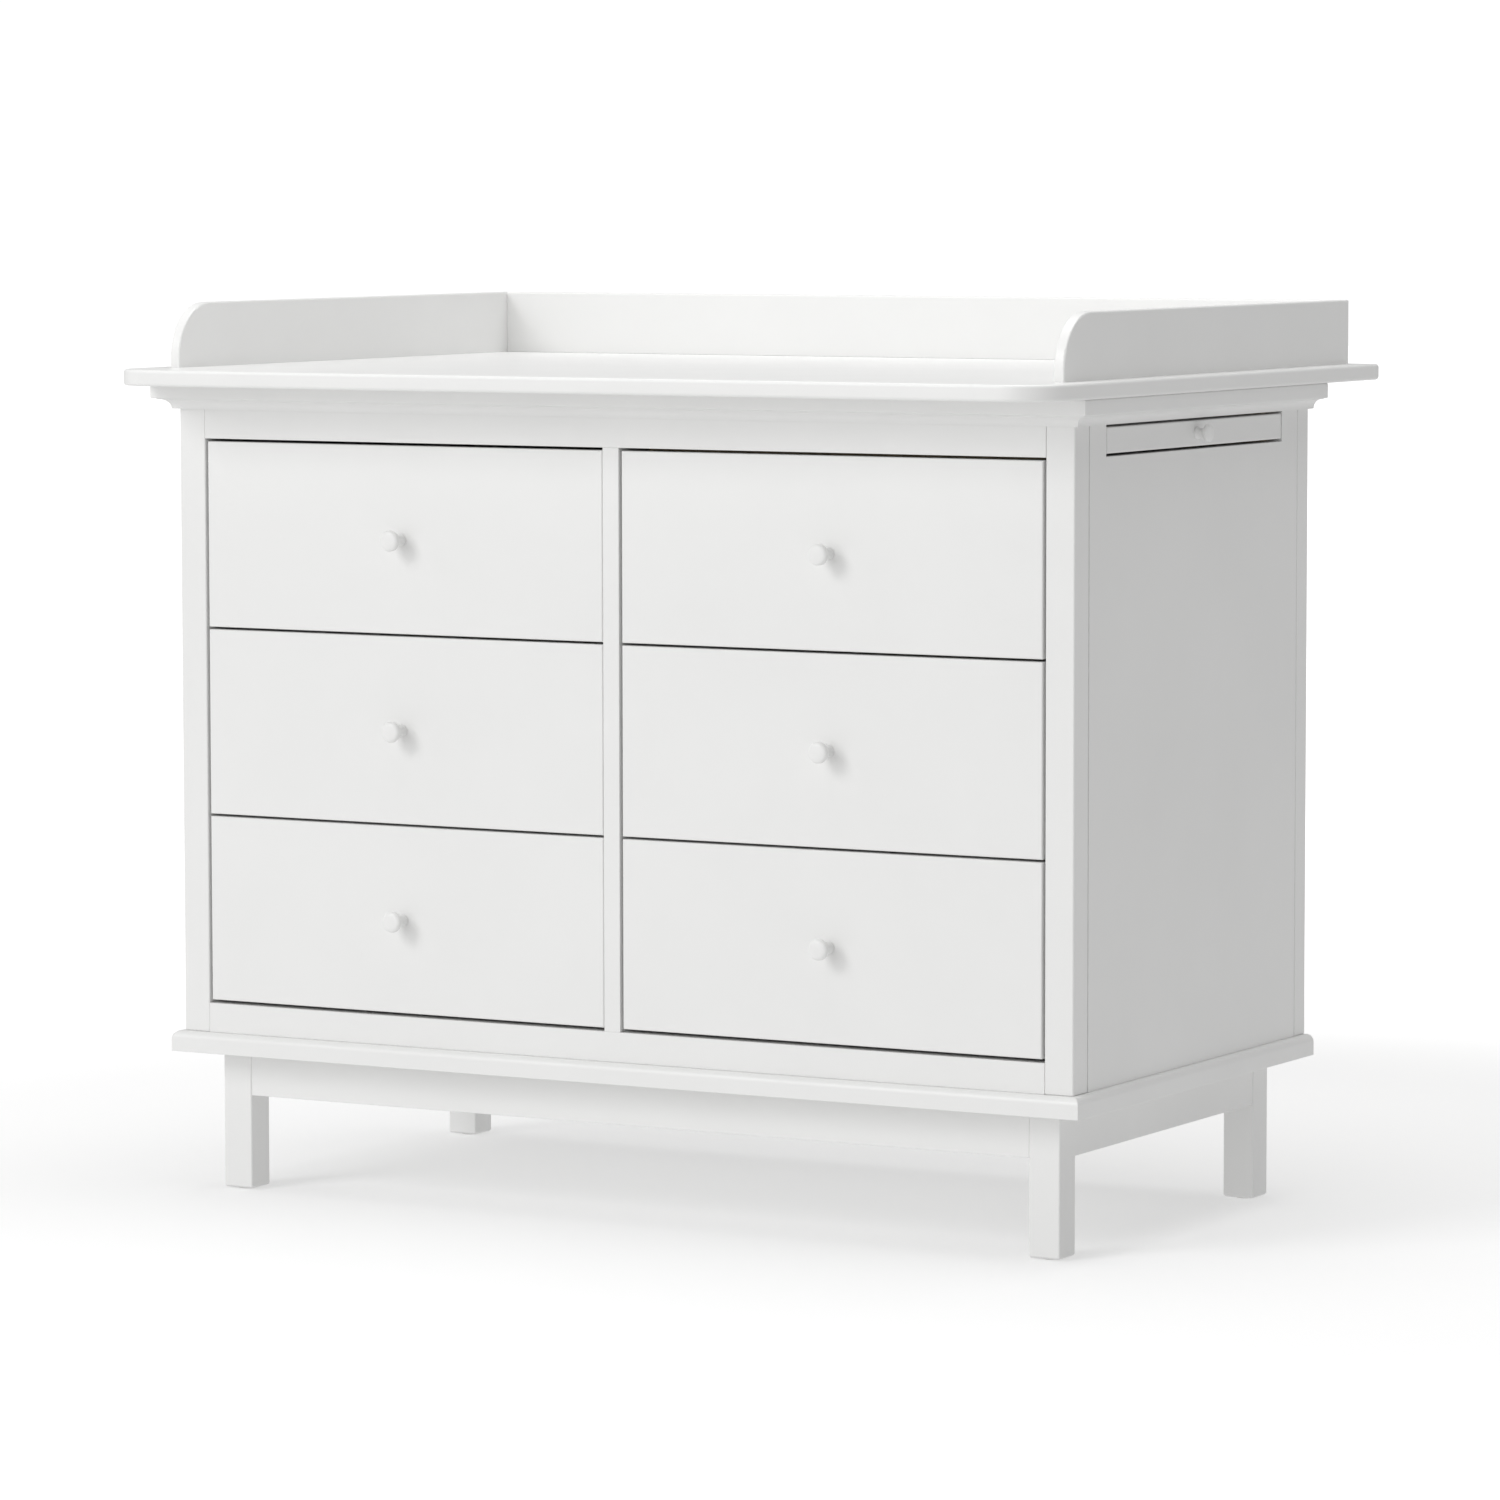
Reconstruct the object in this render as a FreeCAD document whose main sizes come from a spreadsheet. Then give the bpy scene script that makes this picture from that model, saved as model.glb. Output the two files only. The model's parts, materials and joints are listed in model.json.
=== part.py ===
# Changing table: a chest of six drawers on a low frame, with a changing top
# guarded on three sides and a small shelf that pulls out of its right side.
# Millimetres. +Z is up, the drawers face -Y, and the origin is on the floor,
# under the middle of the changing top.
import FreeCAD
import Part
import Sketcher
import os

doc = FreeCAD.newDocument("ChangingTable")
sheet = doc.addObject("Spreadsheet::Sheet", "dims")

driving = {
    # chest
    "body_width": 1060,
    "body_depth": 547,
    "body_front": -283.5,        # front plane of the posts, rails and drawers
    "chest_height": 862,         # floor to the chest's own top
    # frame with the legs
    "base_height": 150,
    "leg_side": 35,
    "leg_inset": 29.5,
    "leg_chamfer": 2,
    "glide_height": 1.5,
    "glide_radius": 11,
    "apron_height": 48,
    "apron_thickness": 20,
    "apron_setback": 1,
    "plinth_thickness": 22,
    "plinth_overhang": 10.5,
    "plinth_round": 8,
    # carcass
    "post_width": 32,
    "front_post_depth": 32,
    "back_post_depth": 26,
    "post_round": 2,
    "panel_thickness": 18,
    "panel_recess": 0.3,
    "panel_groove": 1.6,         # shadow line between panel and post
    "panel_groove_depth": 3,
    "back_thickness": 6,
    "back_recess": 2,
    "rail_thickness": 20,
    "opening_bottom": 203.2,
    "opening_top": 804,
    "partition_thickness": 19,
    "batten_height": 60,
    # top and its moulding
    "top_thickness": 15.8,
    "top_overhang": 22.5,
    "top_round": 1.5,
    "cornice_height": 11.2,
    "cornice_reach": 17.5,
    "cornice_lip": 1,            # upright edge above the moulding's hollow
    "cornice_foot": 6,
    "cornice_curve": 10,
    # pull-out shelf in the right side
    "slot_front": 70,            # from the chest's front plane
    "slot_length": 412,
    "slot_bottom": 802.8,
    "shelf_gap": 2.8,
    "shelf_side_gap": 2,
    "shelf_front_thickness": 18,
    "shelf_thickness": 16,
    "shelf_length": 455,
    "shelf_lift": 8,             # shelf board above the slot's lower edge
    "guide_width": 22,
    "guide_web": 9.5,
    "guide_bottom": 794,
    "guide_play": 0.4,
    # drawers
    "gap": 2.6,                  # between one front and the next
    "gap_above": 3,
    "gap_below": 3.6,
    "gap_beside": 3.3,
    "gap_closed": 0.6,           # where a left front nearly meets the partition
    "front_thickness": 19,
    "front_round": 1.8,
    "box_board": 12,
    "box_height": 150,
    "box_depth": 462,
    "box_lift": 18,
    "runner_space": 11,
    "bottom_thickness": 6,
    "bottom_lift": 12,
    "groove_depth": 6,
    "runner_length": 450,
    "runner_height": 36,
    "runner_depth": 9,
    "slide_height": 26,
    "slide_depth": 9,
    "steel": 1.2,
    # knobs
    "knob_radius": 11,
    "knob_reach": 26,
    "knob_head": 9,
    "knob_neck": 5,
    "knob_base": 6.5,
    "knob_flare": 0.25,          # share of the knob that tapers up from its base
    "knob_undercut": 1,          # slope under the head
    "knob_crown": 0.62,          # rounding over the head, as a share of its height
    "knob_lip": 0.2,             # rounding under the head, likewise
    "knob_hollow": 0.5,          # rounding between neck and head, as a share of the neck
    "small_knob_radius": 9,
    "small_knob_reach": 17,
    "small_knob_head": 7,
    # changing top
    "board_width": 1110,
    "board_depth": 779,
    "board_thickness": 17,
    "board_corner": 57,
    "board_back_corner": 3,
    "board_round": 3.5,
    "guard_height": 68,
    "guard_thickness": 12,
    "guard_side_inset": 27,
    "guard_front_inset": 86,
    "guard_back_inset": 20,
    "guard_corner": 58,
    "guard_round": 2,
    # steel fixings
    "bracket_leg": 55,
    "bracket_width": 24,
    "bracket_sheet": 2,
    "bracket_hole": 38.5,        # from the bend to the middle of each screw
    "screw_radius": 2,
    "screw_head_radius": 4,
    "screw_head": 2.2,
    "screw_length": 16,
    "guard_screw_length": 40,
    "guard_screw_spread": 0.75,  # outer screws of the back guard, as a share of its half length
    "knob_screw_grip": 12,       # how far the knob's screw reaches into the knob
}


class Size:
    """A number together with the sheet expression that gives it."""

    def __init__(self, value, text):
        self.value = value
        self.text = text

    def __add__(self, other):
        other = size(other)
        return Size(self.value + other.value, f"({self.text} + {other.text})")

    def __sub__(self, other):
        other = size(other)
        return Size(self.value - other.value, f"({self.text} - {other.text})")

    def __mul__(self, other):
        other = size(other)
        return Size(self.value * other.value, f"({self.text} * {other.text})")

    def __truediv__(self, other):
        other = size(other)
        return Size(self.value / other.value, f"({self.text} / {other.text})")

    def __radd__(self, other):
        return size(other) + self

    def __rsub__(self, other):
        return size(other) - self

    def __rmul__(self, other):
        return size(other) * self

    def __neg__(self):
        return size(0) - self


def size(number):
    if isinstance(number, Size):
        return number
    return Size(number, repr(number))


class Dimensions:
    """Every driving dimension as a Size, by its alias in the sheet."""


d = Dimensions()
for row, (alias, number) in enumerate(driving.items(), 1):
    sheet.set(f"A{row}", alias)
    sheet.set(f"B{row}", str(number))
    sheet.setAlias(f"B{row}", alias)
    setattr(d, alias, Size(number, f"dims.{alias}"))
doc.recompute()

nodes = []


def bind(piece, **sizes):
    for name, amount in sizes.items():
        piece.setExpression(name, size(amount).text)


def put(piece, at, rotation=None):
    """Give a piece its place, bound to the sheet."""
    if rotation:
        piece.Placement = FreeCAD.Placement(FreeCAD.Vector(), rotation)
    for axis, amount in zip("xyz", at):
        piece.setExpression(f"Placement.Base.{axis}", size(amount).text)


def keep(piece, label):
    """Name a finished sub-part and list it for export."""
    piece.Label = label
    nodes.append(piece)
    return piece


def box(name, low, high):
    """A plain block between two corners."""
    block = doc.addObject("Part::Box", name)
    block.Label = name
    extent = [size(b) - a for a, b in zip(low, high)]
    bind(block, Length=extent[0], Width=extent[1], Height=extent[2])
    put(block, low)
    return block


def cylinder(name, radius, length, at, rotation=None):
    rod = doc.addObject("Part::Cylinder", name)
    rod.Label = name
    bind(rod, Radius=radius, Height=length)
    put(rod, at, rotation)
    return rod


def boolean(kind, name, base, tool):
    result = doc.addObject(kind, name)
    result.Base = base
    result.Tool = tool
    return result


def group(label, pieces):
    """Several separate solids that share one sub-part."""
    bunch = doc.addObject("Part::Compound", label)
    bunch.Links = pieces
    return keep(bunch, label)


def sketch_on(body, plane, outline):
    """A closed outline of straight sides, each corner bound to the sheet."""
    sketch = body.newObject("Sketcher::SketchObject", f"{body.Name}_outline")
    flat = [f for f in body.Origin.OriginFeatures if f.Role == plane][0]
    sketch.AttachmentSupport = [(flat, "")]
    sketch.MapMode = "FlatFace"
    corners = [(size(a), size(b)) for a, b in outline]
    spots = [FreeCAD.Vector(a.value, b.value, 0) for a, b in corners]
    count = len(spots)
    for i in range(count):
        sketch.addGeometry(Part.LineSegment(spots[i], spots[(i + 1) % count]), False)
    for i in range(count):
        sketch.addConstraint(Sketcher.Constraint("Coincident", i, 2, (i + 1) % count, 1))
    for i, (across, up) in enumerate(corners):
        for kind, amount in (("DistanceX", across), ("DistanceY", up)):
            at = sketch.addConstraint(Sketcher.Constraint(kind, -1, 1, i, 1, amount.value))
            sketch.setExpression(f"Constraints[{at}]", amount.text)
    return sketch


def dress(body, kind, feature, amount, wanted):
    """Round or chamfer the edges of the last feature that wanted() picks."""
    doc.recompute()
    picked = [f"Edge{i}" for i, edge in enumerate(feature.Shape.Edges, 1) if wanted(edge)]
    if not picked:
        raise RuntimeError(f"{body.Label}: no edge to dress")
    work = body.newObject(kind, f"{body.Name}_{kind.split('::')[1].lower()}")
    work.Base = (feature, picked)
    work.setExpression("Radius" if kind.endswith("Fillet") else "Size", size(amount).text)
    body.Tip = work
    return work


def extrude(name, plane, outline, length, at, rounds=(), chamfers=()):
    """A body with one outline pushed along the plane's positive normal."""
    body = doc.addObject("PartDesign::Body", name)
    sketch = sketch_on(body, f"{plane}_Plane", outline)
    pad = body.newObject("PartDesign::Pad", f"{body.Name}_pad")
    pad.Profile = sketch
    pad.Reversed = plane == "XZ"
    bind(pad, Length=length)
    sketch.Visibility = False
    last = pad
    for amount, wanted in rounds:
        last = dress(body, "PartDesign::Fillet", last, amount, wanted)
    for amount, wanted in chamfers:
        last = dress(body, "PartDesign::Chamfer", last, amount, wanted)
    put(body, at)
    return body


def turn(name, outline, at, rotation, rounds):
    """A body turned about its own Z axis, from (radius, height) corners."""
    body = doc.addObject("PartDesign::Body", name)
    sketch = sketch_on(body, "XZ_Plane", outline)
    spin = body.newObject("PartDesign::Revolution", f"{body.Name}_spin")
    spin.Profile = sketch
    spin.ReferenceAxis = (sketch, ["V_Axis"])
    spin.Angle = 360
    last = spin
    for amount, wanted in rounds:
        last = dress(body, "PartDesign::Fillet", last, amount, wanted)
    put(body, at, rotation)
    return body


def rectangle(width, depth):
    return [(0, 0), (width, 0), (width, depth), (0, depth)]


def near(number, amount):
    return abs(number - size(amount).value) < 1e-3


def runs(edge, axis):
    """True for a straight edge along x, y or z."""
    if edge.Curve.TypeId != "Part::GeomLine":
        return False
    return abs(getattr(edge.tangentAt(edge.FirstParameter), axis)) > 0.999


def ring(edge, radius, height):
    """True for a full circle of this radius at this height on a turned body."""
    curve = edge.Curve
    return curve.TypeId == "Part::GeomCircle" and near(curve.Radius, radius) and near(curve.Center.z, height)


# planes and places that many pieces share
half_width = d.body_width / 2
body_back = d.body_front + d.body_depth
carcass_bottom = d.base_height + d.plinth_thickness
carcass_top = d.chest_height - d.top_thickness
rail_back = d.body_front + d.rail_thickness
back_panel_face = body_back - d.back_recess - d.back_thickness
post_inside = half_width - d.post_width
panel_outside = half_width - d.panel_recess
panel_inside = panel_outside - d.panel_thickness
panel_front = d.body_front + d.front_post_depth
panel_back = body_back - d.back_post_depth
slot_start = d.body_front + d.slot_front
slot_end = slot_start + d.slot_length
board_top = d.chest_height + d.board_thickness
sides = {"left": -1, "right": 1}


def mirrored(side, inner, outer):
    """Low and high X of a piece between two distances from the middle."""
    if side < 0:
        return -outer, -inner
    return inner, outer


def leg_place(side, end):
    """Low corner of a leg in plan."""
    x = mirrored(side, half_width - d.leg_inset - d.leg_side, half_width - d.leg_inset)[0]
    if end == "front":
        return x, d.body_front + d.leg_inset
    return x, body_back - d.leg_inset - d.leg_side


def make_base():
    """Four square legs on glides, joined by aprons under a moulded board."""
    glides = []
    for end in ("front", "back"):
        for word, side in sides.items():
            x, y = leg_place(side, end)
            label = f"leg_{end}_{word}"
            leg = extrude(label, "XY", rectangle(d.leg_side, d.leg_side),
                          d.base_height - d.glide_height, (x, y, d.glide_height),
                          rounds=[(d.post_round, lambda e: runs(e, "z"))],
                          chamfers=[(d.leg_chamfer,
                                     lambda e: not runs(e, "z") and near(e.CenterOfMass.z, 0))])
            keep(leg, label)
            glides.append(cylinder(f"glide_{end}_{word}", d.glide_radius, d.glide_height,
                                   (x + d.leg_side / 2, y + d.leg_side / 2, 0)))
    group("foot_glides", glides)

    leg_outer = half_width - d.leg_inset
    leg_inner = leg_outer - d.leg_side
    front = d.body_front + d.leg_inset
    back = body_back - d.leg_inset
    low = d.base_height - d.apron_height
    near_face = front + d.apron_setback
    far_face = back - d.apron_setback
    keep(box("apron_front", (-leg_inner, near_face, low),
             (leg_inner, near_face + d.apron_thickness, d.base_height)), "apron_front")
    keep(box("apron_back", (-leg_inner, far_face - d.apron_thickness, low),
             (leg_inner, far_face, d.base_height)), "apron_back")
    outer_face = leg_outer - d.apron_setback
    for word, side in sides.items():
        x_low, x_high = mirrored(side, outer_face - d.apron_thickness, outer_face)
        keep(box(f"apron_{word}", (x_low, front + d.leg_side, low),
                 (x_high, back - d.leg_side, d.base_height)), f"apron_{word}")

    width = d.body_width + 2 * d.plinth_overhang
    depth = d.body_depth + d.plinth_overhang
    plinth = extrude("plinth_board", "XY", rectangle(width, depth), d.plinth_thickness,
                     (-half_width - d.plinth_overhang, d.body_front - d.plinth_overhang, d.base_height),
                     rounds=[(d.plinth_round, lambda e: near(e.CenterOfMass.z, d.plinth_thickness)
                              and not near(e.CenterOfMass.y, depth))])
    keep(plinth, "plinth_board")


def make_posts():
    """Corner posts that stand proud of the side panels."""
    height = carcass_top - carcass_bottom
    for word, side in sides.items():
        x = mirrored(side, post_inside, half_width)[0]
        outer = 0 if side < 0 else d.post_width
        for end, depth, y in (("front", d.front_post_depth, d.body_front),
                              ("back", d.back_post_depth, body_back - d.back_post_depth)):
            label = f"post_{end}_{word}"
            post = extrude(label, "XY", rectangle(d.post_width, depth), height, (x, y, carcass_bottom),
                           rounds=[(d.post_round, lambda e: runs(e, "z") and near(e.CenterOfMass.x, outer))])
            keep(post, label)


def make_panels():
    """Side panels between the posts, the right one open for the shelf."""
    height = carcass_top - carcass_bottom
    length = panel_back - panel_front
    for word, side in sides.items():
        x = mirrored(side, panel_inside, panel_outside)[0]
        outline = rectangle(length, height)
        if side > 0:
            start = d.slot_front - d.front_post_depth
            sill = d.slot_bottom - carcass_bottom
            outline[2:2] = [(length, height), (start + d.slot_length, height),
                            (start + d.slot_length, sill), (start, sill), (start, height)]
            outline.pop(-2)
        panel = extrude(f"side_panel_{word}_board", "YZ", outline, d.panel_thickness,
                        (x, panel_front, carcass_bottom))
        x_low, x_high = mirrored(side, panel_outside - d.panel_groove_depth, panel_outside)
        for end, y in (("front", panel_front), ("back", panel_back - d.panel_groove)):
            groove = box(f"side_panel_{word}_groove_{end}", (x_low, y, carcass_bottom),
                         (x_high, y + d.panel_groove, carcass_top))
            panel = boolean("Part::Cut", f"side_panel_{word}_cut_{end}", panel, groove)
        keep(panel, f"side_panel_{word}")
    keep(box("back_panel", (-post_inside, back_panel_face, carcass_bottom),
             (post_inside, back_panel_face + d.back_thickness, carcass_top)), "back_panel")


def make_dividers():
    """Rails between the posts and the upright board between the columns."""
    keep(box("front_top_rail", (-post_inside, d.body_front, d.opening_top),
             (post_inside, rail_back, carcass_top)), "front_top_rail")
    keep(box("front_bottom_rail", (-post_inside, d.body_front, carcass_bottom),
             (post_inside, rail_back, d.opening_bottom)), "front_bottom_rail")
    rail_front = back_panel_face - d.rail_thickness
    group("back_rails", [
        box("back_top_rail", (-post_inside, rail_front, d.opening_top),
            (post_inside, back_panel_face, carcass_top)),
        box("back_bottom_rail", (-post_inside, rail_front, carcass_bottom),
            (post_inside, back_panel_face, d.opening_bottom))])

    # the partition is notched round the four rails
    depth = back_panel_face - d.body_front
    height = carcass_top - carcass_bottom
    low = d.opening_bottom - carcass_bottom
    high = d.opening_top - carcass_bottom
    step = d.rail_thickness
    far = depth - step
    outline = [(step, 0), (far, 0), (far, low), (depth, low), (depth, high), (far, high),
               (far, height), (step, height), (step, high), (0, high), (0, low), (step, low)]
    keep(extrude("centre_partition", "YZ", outline, d.partition_thickness,
                 (-d.partition_thickness / 2, d.body_front, carcass_bottom)), "centre_partition")


def make_top():
    """The chest's own top and the mitred moulding under its edge."""
    width = d.body_width + 2 * d.top_overhang
    depth = d.body_depth + d.top_overhang
    top = extrude("chest_top", "XY", rectangle(width, depth), d.top_thickness,
                  (-width / 2, d.body_front - d.top_overhang, carcass_top),
                  rounds=[(d.top_round, lambda e: not runs(e, "z") and not near(e.CenterOfMass.y, depth))])
    keep(top, "chest_top")

    reach = d.cornice_reach
    height = d.cornice_height
    foot = d.cornice_foot
    middle = height - d.cornice_lip
    bottom = carcass_top - height

    def profile(name, sign, plane, length, at):
        """A step with a hollow curve in its corner, pushed along the chest."""
        outline = [(0, 0), (sign * foot, 0), (sign * foot, middle), (sign * reach, middle),
                   (sign * reach, height), (0, height)]
        offset = "y" if plane == "YZ" else "x"

        def corner(edge):
            return near(getattr(edge.CenterOfMass, offset), sign * foot) and near(edge.CenterOfMass.z, middle)

        return extrude(name, plane, outline, length, at, rounds=[(d.cornice_curve, corner)])

    full = d.body_width + 2 * reach
    strip = profile("cornice_front_strip", -1, "YZ", full, (-full / 2, d.body_front, bottom))
    plan = [(-half_width, 0), (-full / 2, -reach), (full / 2, -reach), (half_width, 0)]
    mitre = extrude("cornice_front_mitre", "XY", plan, height, (0, d.body_front, bottom))
    keep(boolean("Part::Common", "cornice_front", strip, mitre), "cornice_front")
    for word, side in sides.items():
        strip = profile(f"cornice_{word}_strip", side, "XZ", d.body_depth + reach,
                        (side * half_width, d.body_front - reach, bottom))
        plan = [(0, 0), (side * reach, -reach), (side * reach, d.body_depth), (0, d.body_depth)]
        mitre = extrude(f"cornice_{word}_mitre", "XY", plan, height,
                        (side * half_width, d.body_front, bottom))
        keep(boolean("Part::Common", f"cornice_{word}", strip, mitre), f"cornice_{word}")


def channel(name, wall, opening, height, depth, low_z, start):
    """A steel channel along Y: its web on the wall plane, its flanges towards opening."""
    outline = [(0, 0), (opening * depth, 0), (opening * depth, d.steel), (opening * d.steel, d.steel),
               (opening * d.steel, height - d.steel), (opening * depth, height - d.steel),
               (opening * depth, height), (0, height)]
    return extrude(name, "XZ", outline, d.runner_length, (wall, start, low_z))


front_height = (d.opening_top - d.opening_bottom - d.gap_above - d.gap_below - 2 * d.gap) / 3
runner_start = d.body_front + d.front_thickness + d.gap
columns = {
    "left": (-post_inside, -d.partition_thickness / 2),
    "right": (d.partition_thickness / 2, post_inside),
}
levels = {"bottom": 0, "middle": 1, "top": 2}


def front_bottom(level):
    """Height of the lower edge of a drawer front."""
    return d.opening_bottom + d.gap_below + level * (front_height + d.gap)


def runner_middle(level):
    return front_bottom(level) + d.box_lift + d.box_height / 2


def make_runner_supports():
    """Wooden battens on the side panels and the fixed halves of the runners."""
    battens = []
    runners = []
    for row, level in levels.items():
        middle = runner_middle(level)
        for word, side in sides.items():
            x_low, x_high = mirrored(side, post_inside, panel_inside)
            battens.append(box(f"batten_{row}_{word}",
                               (x_low, panel_front, middle - d.batten_height / 2),
                               (x_high, panel_back, middle + d.batten_height / 2)))
        for column, (low, high) in columns.items():
            for hand, wall, opening in (("a", low, 1), ("b", high, -1)):
                runners.append(channel(f"runner_{row}_{column}_{hand}", wall, opening, d.runner_height,
                                       d.runner_depth, middle - d.runner_height / 2, runner_start))
    group("runner_battens", battens)
    group("fixed_runners", runners)


def knob_body(name, radius, reach, head, at, rotation):
    """A turned mushroom knob that stands along its own Z axis."""
    shoulder = reach - head - d.knob_undercut
    outline = [(0, 0), (d.knob_base, 0), (d.knob_neck, reach * d.knob_flare), (d.knob_neck, shoulder),
               (radius, reach - head), (radius, reach), (0, reach)]
    return turn(name, outline, at, rotation, rounds=[
        (head * d.knob_crown, lambda e: ring(e, radius, reach)),
        (head * d.knob_lip, lambda e: ring(e, radius, reach - head)),
        (d.knob_neck * d.knob_hollow, lambda e: ring(e, d.knob_neck, shoulder))])


def screw(name, length, at, rotation):
    """A round-headed screw: its head sits on the surface, its shank runs along -Z."""
    head = cylinder(f"{name}_head", d.screw_head_radius, d.screw_head, (0, 0, 0))
    shank = cylinder(f"{name}_shank", d.screw_radius, length, (0, 0, -length))
    whole = boolean("Part::Fuse", name, head, shank)
    put(whole, at, rotation)
    return whole


towards_front = FreeCAD.Rotation(FreeCAD.Vector(1, 0, 0), 90)
towards_back = FreeCAD.Rotation(FreeCAD.Vector(1, 0, 0), -90)
towards_right = FreeCAD.Rotation(FreeCAD.Vector(0, 1, 0), 90)
downwards = FreeCAD.Rotation(FreeCAD.Vector(1, 0, 0), 180)


def make_drawer(row, column):
    """One drawer: front, box, moving runner halves with the knob's screw, knob."""
    name = f"drawer_{row}_{column}"
    low, high = columns[column]
    bottom = front_bottom(levels[row])
    gap_right = d.gap_closed if column == "left" else d.gap_beside
    width = high - low - d.gap_beside - gap_right
    front_back = d.body_front + d.front_thickness
    middle_x = (low + high) / 2
    middle_z = bottom + front_height / 2

    # the knob is held by a screw through the front
    knob_screw = screw(f"{name}_screw", d.front_thickness + d.knob_screw_grip,
                       (middle_x, front_back, middle_z), towards_back)
    slab = extrude(f"{name}_slab", "XZ", rectangle(width, front_height), d.front_thickness,
                   (low + d.gap_beside, d.body_front, bottom),
                   rounds=[(d.front_round, lambda e: near(e.CenterOfMass.y, 0))])
    keep(boolean("Part::Cut", f"{name}_front", slab, knob_screw), f"{name}_front")
    blank = knob_body(f"{name}_blank", d.knob_radius, d.knob_reach, d.knob_head,
                      (middle_x, d.body_front, middle_z), towards_front)
    keep(boolean("Part::Cut", f"{name}_knob", blank, knob_screw), f"{name}_knob")

    # the box: two sides grooved for the bottom, a back, and the bottom panel
    outer = (low + d.runner_space, high - d.runner_space)
    inner = (outer[0] + d.box_board, outer[1] - d.box_board)
    box_low = bottom + d.box_lift
    box_high = box_low + d.box_height
    box_back = front_back + d.box_depth
    panel_low = box_low + d.bottom_lift
    panel_high = panel_low + d.bottom_thickness
    panel = box(f"{name}_bottom", (inner[0] - d.groove_depth, front_back, panel_low),
                (inner[1] + d.groove_depth, box_back, panel_high))
    pieces = [panel]
    for hand, x_low, x_high in (("a", outer[0], inner[0]), ("b", inner[1], outer[1])):
        board = box(f"{name}_board_{hand}", (x_low, front_back, box_low), (x_high, box_back, box_high))
        pieces.append(boolean("Part::Cut", f"{name}_side_{hand}", board, panel))
    pieces.append(box(f"{name}_back", (inner[0], box_back - d.box_board, panel_high),
                      (inner[1], box_back, box_high)))
    group(f"{name}_box", pieces)

    slide_low = runner_middle(levels[row]) - d.slide_height / 2
    fittings = []
    for hand, wall, opening in (("a", outer[0], -1), ("b", outer[1], 1)):
        fittings.append(channel(f"{name}_slide_{hand}", wall, opening, d.slide_height,
                                d.slide_depth, slide_low, runner_start))
    group(f"{name}_fittings", fittings + [knob_screw])


def make_shelf():
    """The pull-out shelf with its front and knob, and the guides it runs in."""
    board_low = d.slot_bottom + d.shelf_lift
    board_high = board_low + d.shelf_thickness
    front_y = slot_start + d.shelf_side_gap
    back_y = slot_end - d.shelf_side_gap
    front_x = panel_outside - d.shelf_front_thickness
    keep(box("shelf_board", (front_x - d.shelf_length, front_y, board_low),
             (front_x, back_y, board_high)), "shelf_board")
    low = d.slot_bottom + d.shelf_gap
    high = carcass_top - d.cornice_height - d.shelf_gap
    face = extrude("shelf_front", "YZ", rectangle(back_y - front_y, high - low), d.shelf_front_thickness,
                   (front_x, front_y, low),
                   rounds=[(d.front_round, lambda e: near(e.CenterOfMass.x, d.shelf_front_thickness))])
    keep(face, "shelf_front")
    knob = knob_body("shelf_knob", d.small_knob_radius, d.small_knob_reach, d.small_knob_head,
                     (panel_outside, (front_y + back_y) / 2, (low + high) / 2), towards_right)
    keep(knob, "shelf_knob")

    # each guide is a wooden strip grooved for one edge of the shelf
    guides = []
    for word, wall, inward in (("front", front_y - d.guide_play - d.guide_web, 1),
                               ("back", back_y + d.guide_play + d.guide_web, -1)):
        start = d.partition_thickness / 2
        height = carcass_top - d.guide_bottom
        groove_low = board_low - d.guide_play - d.guide_bottom
        groove_high = board_high + d.guide_play - d.guide_bottom
        outline = [(0, 0), (inward * d.guide_width, 0), (inward * d.guide_width, groove_low),
                   (inward * d.guide_web, groove_low), (inward * d.guide_web, groove_high),
                   (inward * d.guide_width, groove_high), (inward * d.guide_width, height), (0, height)]
        guides.append(extrude(f"shelf_guide_{word}", "YZ", outline, panel_inside - start,
                              (start, wall, d.guide_bottom)))
    group("shelf_guides", guides)


def make_changing_top():
    """The wide board with round front corners and the guard round three sides."""
    board_front = -d.board_depth / 2
    board = extrude("changing_board", "XY", rectangle(d.board_width, d.board_depth), d.board_thickness,
                    (-d.board_width / 2, board_front, d.chest_height),
                    rounds=[(d.board_corner, lambda e: runs(e, "z") and near(e.CenterOfMass.y, 0)),
                            (d.board_back_corner,
                             lambda e: runs(e, "z") and near(e.CenterOfMass.y, d.board_depth)),
                            (d.board_round, lambda e: not runs(e, "z"))])
    keep(board, "changing_board")

    guard_outside = d.board_width / 2 - d.guard_side_inset
    guard_inside = guard_outside - d.guard_thickness
    length = d.board_depth - d.guard_front_inset - d.guard_back_inset
    for word, side in sides.items():
        x = mirrored(side, guard_inside, guard_outside)[0]
        guard = extrude(f"guard_{word}", "YZ", rectangle(length, d.guard_height), d.guard_thickness,
                        (x, board_front + d.guard_front_inset, board_top),
                        rounds=[(d.guard_corner, lambda e: runs(e, "x") and near(e.CenterOfMass.y, 0)
                                 and near(e.CenterOfMass.z, d.guard_height)),
                                (d.guard_round, lambda e: e.BoundBox.ZMax > 0.1 and not runs(e, "x"))])
        keep(guard, f"guard_{word}")
    back_face = d.board_depth / 2 - d.guard_back_inset
    guard = extrude("guard_back", "YZ", rectangle(d.guard_thickness, d.guard_height), 2 * guard_inside,
                    (-guard_inside, back_face - d.guard_thickness, board_top),
                    rounds=[(d.guard_round,
                             lambda e: runs(e, "x") and near(e.CenterOfMass.z, d.guard_height))])
    keep(guard, "guard_back")


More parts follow.
